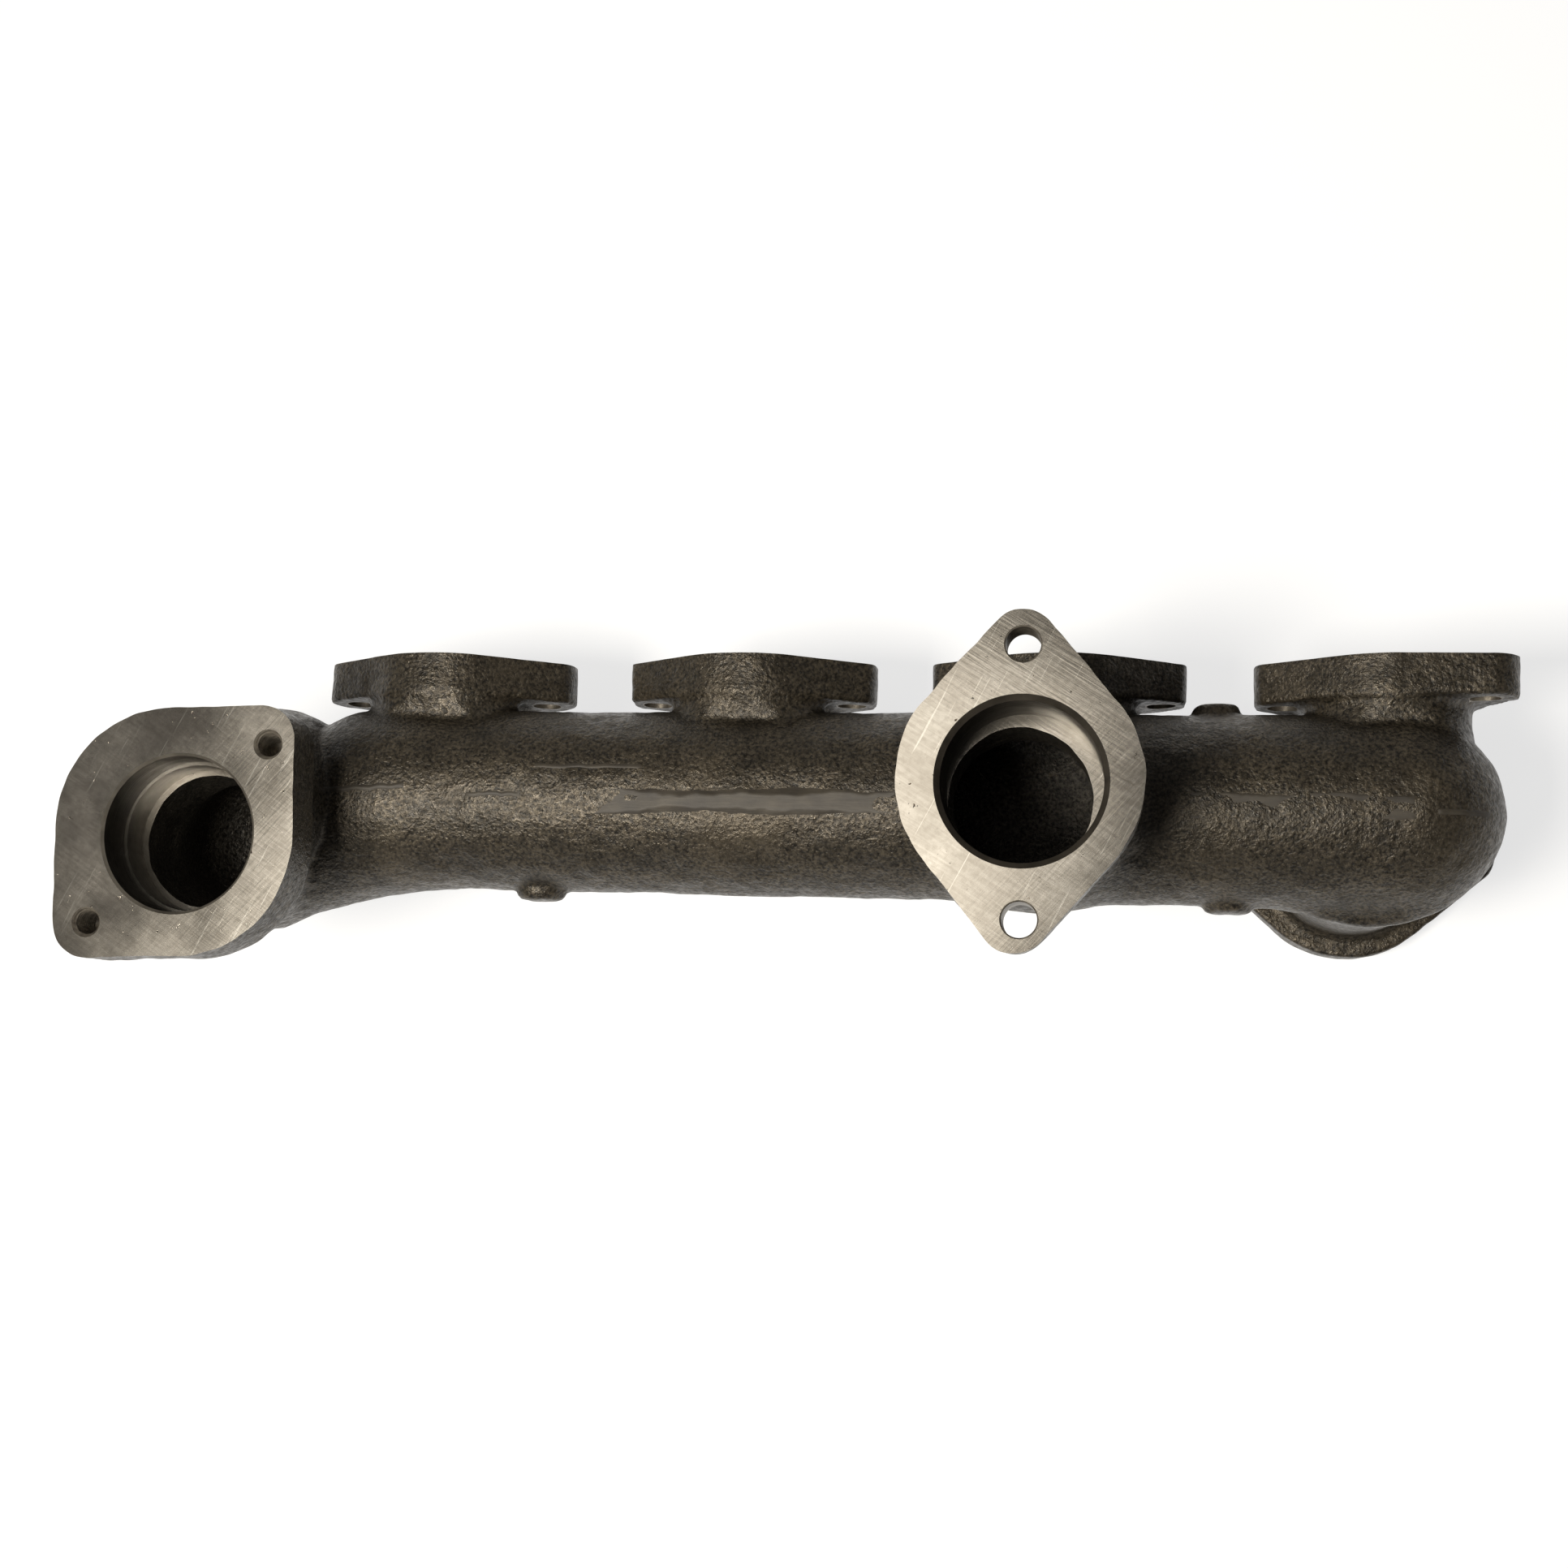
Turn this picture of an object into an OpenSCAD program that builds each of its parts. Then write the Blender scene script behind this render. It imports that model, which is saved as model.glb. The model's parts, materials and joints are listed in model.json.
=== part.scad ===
// Log-type exhaust manifold for a four-cylinder engine, with three gas outlets.
// X runs along the log, Y points out of the port faces towards the cylinder head,
// and Z points out of the front and left outlets.
// The origin is midway between ports 2 and 3, on the plane of the port faces.

/* [Ports] */
// Distance between the two inner ports
inner_pitch = 118.5; // [116:0.5:124]
// Distance from each outer port to the inner port beside it
outer_pitch = 122; // [118:0.5:128]
// Radius of a gas port in its flange
port_bore_r = 21; // [18:0.5:22]
// Thickness of a port flange
port_flange_t = 15; // [13:0.5:17]
// Radius of a port flange around its bore
port_flange_r = 34; // [32:0.5:36]
// Distance from a port's centre to each of its bolts
port_bolt_reach = 38.5; // [38:0.5:40]
// Radius of the ear around each port bolt
port_ear_r = 12; // [11:0.5:14]
// Radius of a port bolt hole
port_hole_r = 5.5; // [4.5:0.25:6]
// Radius of the round neck behind a port flange
port_neck_r = 33; // [29:0.5:33]
// Turn of the last port's outer ear towards the outlets, in degrees
last_ear_turn = 34; // [28:1:38]
// Radius of the spanner clearance cut beside each neck
spanner_r = 14; // [12:0.5:15]

/* [Log] */
// Outer radius of the log
log_r = 35.5; // [34:0.5:37]
// Wall thickness of the log
log_wall = 6; // [5:0.5:7]
// Distance from the port faces down to the log's axis
log_drop = 55.5; // [54:0.5:60]
// Distance from the ports' centreline forward to the log's axis
log_forward = 12; // [8:1:16]
// Where the log's rounded right end starts
log_right_x = 185; // [183:1:188]
// Where the log's straight left end stops
log_left_x = -194; // [-198:1:-190]
// Slope of the branch that runs down to the left outlet, in degrees
branch_slope = 15; // [12:1:17]

/* [Front and rear outlets] */
// Centre of the front outlet along the log
front_x = 50.5; // [44:0.5:56]
// How far below the log's axis the front outlet is centred
front_offset = 1.5; // [0:0.5:4]
// Height of the front outlet's face above the ports' centreline
front_face_z = 105; // [95:1:115]
// Centre of the rear outlet along the log
rear_x = 172.5; // [170:0.5:176]
// How far below the log's axis the rear outlet is centred
rear_offset = 7.5; // [4:0.5:10]
// Depth of the rear outlet's face below the ports' centreline
rear_face_z = 85; // [75:1:95]
// Thickness of both outlet flanges
outlet_flange_t = 15; // [12:0.5:18]
// Radius of both outlet flanges around their bores
outlet_flange_r = 41.5; // [40:0.5:44]
// Distance between the two outlet bolts
outlet_bolt_spacing = 93; // [90:0.5:96]
// Radius of the ear around each outlet bolt
outlet_ear_r = 11.5; // [11:0.5:15]
// Radius of an outlet bolt hole
outlet_hole_r = 6; // [5:0.25:6.5]
// Radius of the machined outlet bores
outlet_bore_r = 27.5; // [26:0.25:29]
// Depth of the machined outlet bores
outlet_bore_depth = 32; // [24:1:40]
// Radius of the as-cast passages behind the bores
outlet_cast_r = 26; // [23:0.25:27]
// Width of the chamfer at the mouth of each bore
bore_chamfer = 2; // [0.5:0.25:2.5]

/* [Left outlet] */
// Centre of the left outlet along the log
left_x = -252; // [-256:1:-250]
// How far below the log's axis the left outlet is centred
left_offset = 22; // [18:0.5:24]
// Height of the left outlet's face above the ports' centreline
left_face_z = 94; // [88:1:104]
// Thickness of the left flange
left_flange_t = 21; // [18:0.5:24]
// Half the width of the square left flange
left_half = 45; // [44:0.25:47]
// Turn of the left flange about its bore, in degrees
left_turn = 2; // [0:0.5:4]
// Radius of the left machined bore
left_bore_r = 28.25; // [26:0.25:29]
// Depth of the left machined bore
left_bore_depth = 17; // [12:1:20]
// Radius of the narrower machined bore behind it
left_inner_r = 27; // [25.75:0.25:27.75]
// Depth of the narrower machined bore, from the face
left_inner_depth = 30; // [24:1:38]
// Radius of the left as-cast passage
left_cast_r = 25; // [22:0.5:25.5]
// Diagonal distance between the two threaded holes
left_bolt_spacing = 92; // [90:0.5:94]
// Core radius of the threaded holes
thread_core_r = 4.25; // [3.5:0.25:5]
// Depth of the threaded holes
thread_depth = 19; // [14:0.5:20]

/* [Details] */
// Radius of a heat-shield boss at its top
boss_r = 8.5; // [7:0.5:9]
// Height of a heat-shield boss above the log
boss_h = 4.25; // [3:0.25:5]
// Width of the ground parting land along the log
land_w = 9; // [6:0.5:12]
// Height of the parting land above the log
land_h = 0.7; // [0.5:0.1:1]
// How far below the log's axis the parting land is centred
land_offset = 2.5; // [0:0.5:4]

/* [Hidden] */
$fn = 96;
cast = [0.17, 0.155, 0.14];
cast_dark = [0.13, 0.12, 0.11];
machined = [0.62, 0.60, 0.56];
eps = 0.02;
over = 1;
// Flanks lie this far inside the arcs that they run into
flank_cut = 0.03;

// Ports, left to right
outer_x = inner_pitch / 2 + outer_pitch;
port_x = [-outer_x, -inner_pitch / 2, inner_pitch / 2, outer_x];
// The log's axis and its bore
log_y = -log_drop;
log_z = log_forward;
log_bore_r = log_r - log_wall;
// The neck leans forward from the port's centreline to the log's axis
neck_run = log_drop - port_flange_t;
neck_lean = atan(log_forward / neck_run);
// Joints between the lengths of the log
joint_left = (port_x[0] + port_x[1]) / 2;
joint_middle = 0;
joint_right = (port_x[2] + port_x[3]) / 2 - 5;
// The sloping branch to the left outlet
branch_x = log_left_x + 4;
branch_r = log_r - 2;
branch_len = (branch_x - left_x) / cos(branch_slope);
left_y = log_y - left_offset;
left_neck_r = 32;
elbow_joint = log_left_x - 20;
left_foot_r = 37;
left_neck_base_z = log_z - log_r - 0.5;
left_neck_joint_z = log_z + log_r + 0.5;
left_ear_r = 13;
left_round_r = 42;
// The left plate's outline sits a little off its bore
left_plate_shift = [-1.5, 0.75];
front_y = log_y - front_offset;
rear_y = log_y - rear_offset;
last_neck_r = port_neck_r - 2.5;
outlet_neck_r = 35;
rear_neck_r = 33;
// The as-cast front passage sits a little off the machined bore
front_cast_shift = [-1, -1];
boss_base_r = boss_r + 2.5;
boss_sink = 8;
boss_upper_x = 117.5;
boss_lower_left_x = -138.5;
boss_lower_right_x = 122;

// A cylinder along +Y from y1 up to y2
module along_y(r, x, z, y1, y2) {
    translate([x, y1, z])
        rotate([-90, 0, 0])
            cylinder(r = r, h = y2 - y1);
}

// A cylinder along +X from x1 to x2
module along_x(r, y, z, x1, x2) {
    translate([x1, y, z])
        rotate([0, 90, 0])
            cylinder(r = r, h = x2 - x1);
}

// Two-bolt outline: a round middle and an ear at each end of one line
module two_ear_outline(middle_r, ear_r, turn_a, turn_b, reach) {
    circle(r = middle_r);
    for (turn = [turn_a, turn_b])
        rotate(turn)
            ear_outline(middle_r, ear_r, reach);
}

// One ear along +X, with straight flanks that run along the middle's and the ear's sides
module ear_outline(middle_r, ear_r, reach) {
    lean = acos((middle_r - ear_r) / reach);
    up = [cos(lean), sin(lean)];
    down = [up[0], -up[1]];
    ear = [reach, 0];
    translate(ear)
        circle(r = ear_r);
    polygon([(middle_r - flank_cut) * down, ear + (ear_r - flank_cut) * down,
             ear + (ear_r - flank_cut) * up, (middle_r - flank_cut) * up]);
}

// Square outline with two tight corners at the bolts and two wide ones between them
module left_outline() {
    radii = [left_ear_r, left_round_r, left_ear_r, left_round_r];
    for (i = [0 : 3])
        rotate(90 * i)
            translate([left_half - radii[i], left_half - radii[i]])
                circle(r = radii[i]);
    side = left_half - flank_cut;
    polygon([for (i = [0 : 3]) for (first = [true, false])
        let (near = left_half - radii[i], p = first ? [side, near] : [near, side])
            [p[0] * cos(90 * i) - p[1] * sin(90 * i), p[0] * sin(90 * i) + p[1] * cos(90 * i)]]);
}

// Solid outer shape of the log with its rounded right end and its left branch
module log_outer() {
    along_x(log_r, log_y, log_z, log_left_x, log_right_x);
    translate([log_right_x, log_y, log_z])
        sphere(r = log_r);
    branch(branch_r);
    translate([left_x, left_y, left_neck_base_z])
        cylinder(r = left_foot_r, h = left_neck_joint_z - left_neck_base_z);
}

// Round bar down the slope towards the left outlet
module branch(r) {
    translate([branch_x, log_y, log_z])
        rotate([0, 0, branch_slope])
            rotate([0, -90, 0])
                cylinder(r = r, h = branch_len);
}

// Leaning round bar from the back of a port flange to the log's axis
module neck_bar(x, r) {
    translate([x, -port_flange_t, 0])
        rotate([90 - neck_lean, 0, 0])
            translate([0, 0, -r])
                cylinder(r = r, h = neck_run / cos(neck_lean) + r);
}

// Every gas passage, as one solid that the casting is cut by
module gas_passages() {
    along_x(log_bore_r, log_y, log_z, log_left_x, log_right_x);
    translate([log_right_x, log_y, log_z])
        sphere(r = log_bore_r);
    branch(branch_r - log_wall);
    for (x = port_x)
        port_passage(x);
    translate([front_x + front_cast_shift[0], front_y + front_cast_shift[1], log_z])
        cylinder(r = outlet_cast_r, h = front_face_z - log_z - outlet_bore_depth + eps);
    outlet_bore(front_x, front_y, front_face_z, 1, outlet_bore_r, outlet_bore_depth);
    rear_passage();
    outlet_bore(rear_x, rear_y, -rear_face_z, -1, outlet_bore_r, outlet_bore_depth);
    translate([left_x, left_y, left_neck_base_z + 2 * log_wall])
        cylinder(r = left_cast_r, h = left_face_z - left_inner_depth - left_neck_base_z - 2 * log_wall + eps);
    translate([left_x, left_y, left_face_z - left_inner_depth])
        cylinder(r = left_inner_r, h = left_inner_depth);
    outlet_bore(left_x, left_y, left_face_z, 1, left_bore_r, left_bore_depth);
}

// As-cast passage from the log down to the rear outlet's bore
module rear_passage() {
    translate([rear_x, rear_y, -rear_face_z + outlet_bore_depth - eps])
        cylinder(r = outlet_cast_r, h = log_z + rear_face_z - outlet_bore_depth);
}

// Port bore through the flange, and the leaning passage behind it
module port_passage(x) {
    along_y(port_bore_r, x, 0, -port_flange_t - eps, over);
    intersection() {
        neck_bar(x, port_bore_r);
        translate([x - port_flange_r, -log_drop - port_flange_r, -port_flange_r])
            cube([2 * port_flange_r, log_drop + port_flange_r - port_flange_t, 3 * port_flange_r]);
    }
}

// Machined bore with a chamfered mouth; facing is 1 for up and -1 for down
module outlet_bore(x, y, face_z, facing, r, depth) {
    translate([x, y, face_z])
        mirror([0, 0, facing > 0 ? 0 : 1]) {
            translate([0, 0, -depth])
                cylinder(r = r, h = depth + over);
            translate([0, 0, -bore_chamfer])
                cylinder(r1 = r, r2 = r + bore_chamfer, h = bore_chamfer);
            cylinder(r = r + bore_chamfer, h = over);
        }
}

// One length of the log, cut by the passages
module log_length(x1, x2) {
    difference() {
        intersection() {
            log_outer();
            translate([x1, log_y - 100, log_z - 100])
                cube([x2 - x1, 200, 200]);
        }
        gas_passages();
    }
}

// Port neck, cut to sit on the log, with its own leaning passage
module port_neck(i, r) {
    difference() {
        neck_bar(port_x[i], r);
        translate([port_x[i] - 2 * r, -port_flange_t, -2 * r])
            cube([4 * r, 2 * r, 4 * r]);
        along_x(log_r, log_y, log_z, port_x[i] - 2 * r, min(port_x[i] + 2 * r, log_right_x));
        neck_bar(port_x[i], port_bore_r);
    }
}

// Port neck that is also relieved on both sides, so that a spanner reaches the bolts
module relieved_neck(i) {
    difference() {
        port_neck(i, port_neck_r);
        for (side = [-1, 1])
            along_y(spanner_r, port_x[i] + side * port_bolt_reach, 0, log_y, over);
    }
}

// Port flange with its two bolt holes; turn swings the right ear forward
module port_flange(i, turn) {
    translate([port_x[i], 0, 0])
        rotate([90, 0, 0])
            linear_extrude(height = port_flange_t)
                difference() {
                    two_ear_outline(port_flange_r, port_ear_r, turn, 180, port_bolt_reach);
                    circle(r = port_bore_r);
                    for (ear = [turn, 180])
                        rotate(ear)
                            translate([port_bolt_reach, 0])
                                circle(r = port_hole_r);
                }
}

// Two-bolt outlet flange, its lower face at z = 0; turn points its first ear
module outlet_flange(turn) {
    linear_extrude(height = outlet_flange_t)
        difference() {
            two_ear_outline(outlet_flange_r, outlet_ear_r, turn, turn + 180, outlet_bolt_spacing / 2);
            for (side = [-1, 1])
                rotate(turn)
                    translate([side * outlet_bolt_spacing / 2, 0])
                        circle(r = outlet_hole_r);
        }
}

// Heat-shield boss on the log; side is 1 on the ports' side and -1 away from it
module shield_boss(x, side) {
    difference() {
        translate([x, log_y + side * (log_r - boss_sink), log_z])
            rotate([-90 * side, 0, 0])
                cylinder(r1 = boss_base_r + 1, r2 = boss_r, h = boss_sink + boss_h);
        log_outer();
    }
}

// Ground strip on the front of the log from x1 to x2
module parting_land(x1, x2) {
    difference() {
        intersection() {
            along_x(log_r + land_h, log_y, log_z, x1, x2);
            translate([x1, log_y - land_offset - land_w / 2, log_z])
                cube([x2 - x1, land_w, 2 * log_r]);
        }
        log_outer();
    }
}

module left_elbow() {
    color(cast) log_length(left_x - left_foot_r - over, elbow_joint);
}

module left_end() {
    color(cast) log_length(elbow_joint, joint_left);
}

module log_left() {
    color(cast) log_length(joint_left, joint_middle);
}

module log_right() {
    color(cast) log_length(joint_middle, joint_right);
}

module right_end() {
    color(cast) log_length(joint_right, log_right_x + log_r + over);
}

module port_neck_1() {
    color(cast) relieved_neck(0);
}

module port_neck_2() {
    color(cast) relieved_neck(1);
}

module port_neck_3() {
    color(cast) difference() {
        relieved_neck(2);
        translate([front_x, front_y, log_z])
            cylinder(r = outlet_neck_r, h = front_face_z);
    }
}

module port_neck_4() {
    color(cast) difference() {
        port_neck(3, last_neck_r);
        translate([log_right_x, log_y, log_z])
            sphere(r = log_r);
        rear_passage();
    }
}

module port_flange_1() {
    color(cast_dark) port_flange(0, 0);
}

module port_flange_2() {
    color(cast_dark) port_flange(1, 0);
}

module port_flange_3() {
    color(cast_dark) port_flange(2, 0);
}

module port_flange_4() {
    color(cast_dark) port_flange(3, last_ear_turn);
}

module left_outlet_neck() {
    color(cast) difference() {
        translate([left_x, left_y, left_neck_joint_z])
            cylinder(r = left_neck_r, h = left_face_z - left_flange_t - left_neck_joint_z);
        gas_passages();
    }
}

module left_outlet_flange() {
    color(machined) difference() {
        translate([left_x + left_plate_shift[0], left_y + left_plate_shift[1], left_face_z - left_flange_t])
            rotate(left_turn)
                linear_extrude(height = left_flange_t)
                    left_outline();
        gas_passages();
        for (side = [-1, 1])
            translate([left_x, left_y, left_face_z - thread_depth])
                rotate(45)
                    translate([side * left_bolt_spacing / 2, 0, 0])
                        cylinder(r = thread_core_r, h = thread_depth + over);
    }
}

module front_outlet_neck() {
    color(cast) difference() {
        translate([front_x, front_y, log_z])
            cylinder(r = outlet_neck_r, h = front_face_z - outlet_flange_t - log_z);
        log_outer();
        gas_passages();
    }
}

module front_outlet_flange() {
    color(machined) difference() {
        translate([front_x, front_y, front_face_z - outlet_flange_t])
            outlet_flange(90);
        gas_passages();
    }
}

module rear_outlet_neck() {
    color(cast) difference() {
        translate([rear_x, rear_y, -rear_face_z + outlet_flange_t])
            cylinder(r = rear_neck_r, h = rear_face_z - outlet_flange_t + log_z);
        log_outer();
        port_neck(3, last_neck_r);
        gas_passages();
    }
}

module rear_outlet_flange() {
    color(machined) difference() {
        translate([rear_x, rear_y, -rear_face_z])
            outlet_flange(0);
        gas_passages();
    }
}

module shield_boss_upper() {
    color(cast) shield_boss(boss_upper_x, 1);
}

module shield_boss_lower_left() {
    color(cast) shield_boss(boss_lower_left_x, -1);
}

module shield_boss_lower_right() {
    color(cast) shield_boss(boss_lower_right_x, -1);
}

module parting_land_left() {
    color(cast_dark) parting_land(log_left_x + 18, front_x - outlet_neck_r - over);
}

module parting_land_right() {
    color(cast_dark) parting_land(front_x + outlet_neck_r + over, log_right_x);
}

left_elbow();
left_end();
log_left();
log_right();
right_end();
port_neck_1();
port_neck_2();
port_neck_3();
port_neck_4();
port_flange_1();
port_flange_2();
port_flange_3();
port_flange_4();
left_outlet_neck();
left_outlet_flange();
front_outlet_neck();
front_outlet_flange();
rear_outlet_neck();
rear_outlet_flange();
shield_boss_upper();
shield_boss_lower_left();
shield_boss_lower_right();
parting_land_left();
parting_land_right();
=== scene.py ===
"""A cast-iron exhaust manifold: sand-cast skin, machined flanges and bores, studio light.

The casting is one distance field, turned into a mesh, machined with booleans and then cut into
one closed piece for each CAD node. Lengths are in millimetres until a mesh is made, in metres.
"""

import json
import math

import bmesh
import bpy
import numpy as np
import openvdb
from mathutils import Euler, Matrix, Quaternion, Vector


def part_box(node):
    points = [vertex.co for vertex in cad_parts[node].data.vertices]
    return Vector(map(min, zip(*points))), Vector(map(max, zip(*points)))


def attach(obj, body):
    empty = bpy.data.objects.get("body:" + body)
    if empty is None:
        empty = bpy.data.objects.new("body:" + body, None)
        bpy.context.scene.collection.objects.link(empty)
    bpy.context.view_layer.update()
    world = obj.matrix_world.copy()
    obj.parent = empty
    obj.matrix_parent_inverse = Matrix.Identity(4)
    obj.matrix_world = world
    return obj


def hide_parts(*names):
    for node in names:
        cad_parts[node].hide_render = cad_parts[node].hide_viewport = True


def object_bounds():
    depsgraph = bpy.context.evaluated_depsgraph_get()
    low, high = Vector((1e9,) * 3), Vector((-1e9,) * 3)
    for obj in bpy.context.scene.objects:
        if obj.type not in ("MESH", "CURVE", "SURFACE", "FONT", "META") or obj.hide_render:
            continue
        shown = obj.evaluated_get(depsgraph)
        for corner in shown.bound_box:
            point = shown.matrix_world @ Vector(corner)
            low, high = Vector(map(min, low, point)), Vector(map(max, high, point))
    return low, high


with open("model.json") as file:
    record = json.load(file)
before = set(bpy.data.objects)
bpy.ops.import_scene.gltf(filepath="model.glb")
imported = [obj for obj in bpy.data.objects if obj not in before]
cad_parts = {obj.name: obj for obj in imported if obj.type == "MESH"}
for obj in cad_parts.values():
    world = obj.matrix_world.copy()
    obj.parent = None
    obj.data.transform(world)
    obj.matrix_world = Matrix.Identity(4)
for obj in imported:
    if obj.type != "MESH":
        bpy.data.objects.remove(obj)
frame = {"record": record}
cad_low, cad_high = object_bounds()

MM = 0.001
X, Y, Z = 0, 1, 2


# Sizes and places, read from the frame


def node_box(name):
    """Lowest and highest corner of a CAD node."""
    return [np.array(corner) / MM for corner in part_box(name)]


MOUNTS = {mount["name"]: mount for mount in frame["record"]["mounts"]}


def place(name):
    """Where a mount is."""
    return np.array(MOUNTS[name]["pos_m"]) / MM


def size(name, key):
    """One of a mount's dimensions."""
    return MOUNTS[name]["dims"][key]


CAD_LOW, CAD_HIGH = np.array(cad_low) / MM, np.array(cad_high) / MM

# The log
log_low, log_high = node_box("log_left")
LOG_R = (log_high[Y] - log_low[Y]) / 2
LOG_Y = (log_high[Y] + log_low[Y]) / 2
LOG_Z = (log_high[Z] + log_low[Z]) / 2
LOG_RIGHT_X = node_box("right_end")[1][X] - LOG_R
LOG_JOINTS = [node_box(name)[1][X] for name in ("left_elbow", "left_end", "log_left", "log_right")]
# The thickness of the casting's walls
WALL = 6

# The ports
PORTS = range(4)
PORT_X = [place(f"port_{i + 1}_bore")[X] for i in PORTS]
PORT_R = size("port_1_bore", "r_mm")
port_low, port_high = node_box("port_flange_1")
PORT_FLANGE_R = port_high[Z]
PORT_FLANGE_BACK = port_low[Y]
PORT_REACH = size("port_1_bolts", "spacing_x_mm") / 2
PORT_EAR_R = port_high[X] - PORT_X[0] - PORT_REACH
PORT_HOLE_R = size("port_1_bolts", "hole_r_mm")
PORT_NECK_R = [PORT_X[i] - node_box(f"port_neck_{i + 1}")[0][X] for i in PORTS]
last_hole = place("port_4_right_bolt_hole")
LAST_TURN = math.atan2(last_hole[Z], last_hole[X] - PORT_X[3])
# Room for a spanner round each port bolt
SPANNER_R = 14

# The front and rear outlets
FRONT = place("front_outlet_face")[Z] * np.array([0, 0, 1]) + place("front_outlet_bore") * [1, 1, 0]
REAR = place("rear_outlet_face")[Z] * np.array([0, 0, 1]) + place("rear_outlet_bore") * [1, 1, 0]
outlet_low, outlet_high = node_box("front_outlet_flange")
OUTLET_R = (outlet_high[X] - outlet_low[X]) / 2
OUTLET_T = outlet_high[Z] - outlet_low[Z]
OUTLET_REACH = size("front_outlet_bolts", "spacing_y_mm") / 2
OUTLET_EAR_R = (outlet_high[Y] - outlet_low[Y]) / 2 - OUTLET_REACH
OUTLET_HOLE_R = size("front_outlet_bolts", "hole_r_mm")
OUTLET_BORE_R = size("front_outlet_bore", "r_mm")
OUTLET_BORE_DEPTH = 32
OUTLET_CAST_R = 26
FRONT_NECK_R = FRONT[X] - node_box("front_outlet_neck")[0][X]
REAR_NECK_R = REAR[X] - node_box("rear_outlet_neck")[0][X]
CHAMFER = 2

# The left outlet
LEFT = place("left_outlet_face")[Z] * np.array([0, 0, 1]) + place("left_outlet_bore") * [1, 1, 0]
LEFT_T = LEFT[Z] - node_box("left_outlet_flange")[0][Z]
# Half the square flange's side, how far it is turned, and the radii of its corners
LEFT_HALF = 45
LEFT_TURN = math.radians(2)
LEFT_TIGHT_R, LEFT_WIDE_R = 13, 42
# The square was cast a little off its bore
LEFT_PLATE = LEFT + [-1.5, 0.75, 0]
LEFT_NECK_R = LEFT[X] - node_box("left_outlet_neck")[0][X]
LEFT_BORE_R = size("left_outlet_bore", "r_mm")
LEFT_BORE_DEPTH = 17
LEFT_INNER_R = 27
LEFT_INNER_DEPTH = 30
LEFT_CAST_R = 25
THREAD_CORE_R = size("left_outlet_thread_upper", "r_mm")
THREAD_R = 5
THREAD_PITCH = 1.5
THREAD_DEPTH = size("left_outlet_thread_upper", "length_mm")

# The elbow, where the log slopes down to the left outlet
LOG_LEFT_X = LOG_JOINTS[0] + 20
BRANCH_X = LOG_LEFT_X + 4
BRANCH_R = LOG_R - 2

# How far the cast flanges stand past the planes that they are machined to
ALLOWANCE = 4


# The distance field that the casting grows in

# The grid's step, the distance that empty space starts with, and the room round each shape
STEP = 1.15
FAR = 40.0
MARGIN = 6


class Shape:
    """A solid as a distance function of x, y and z, with the box that it lies in."""

    def __init__(self, distance, low, high):
        self.distance = distance
        self.low = np.minimum(low, high)
        self.high = np.maximum(low, high)


def smooth_min(a, b, blend):
    """The lower of two distances, with a fillet about as wide as blend where they meet."""
    if not blend:
        return np.minimum(a, b)
    near = np.maximum(1 - np.abs(a - b) / blend, 0)
    return np.minimum(a, b) - near * near * (blend / 4)


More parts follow.
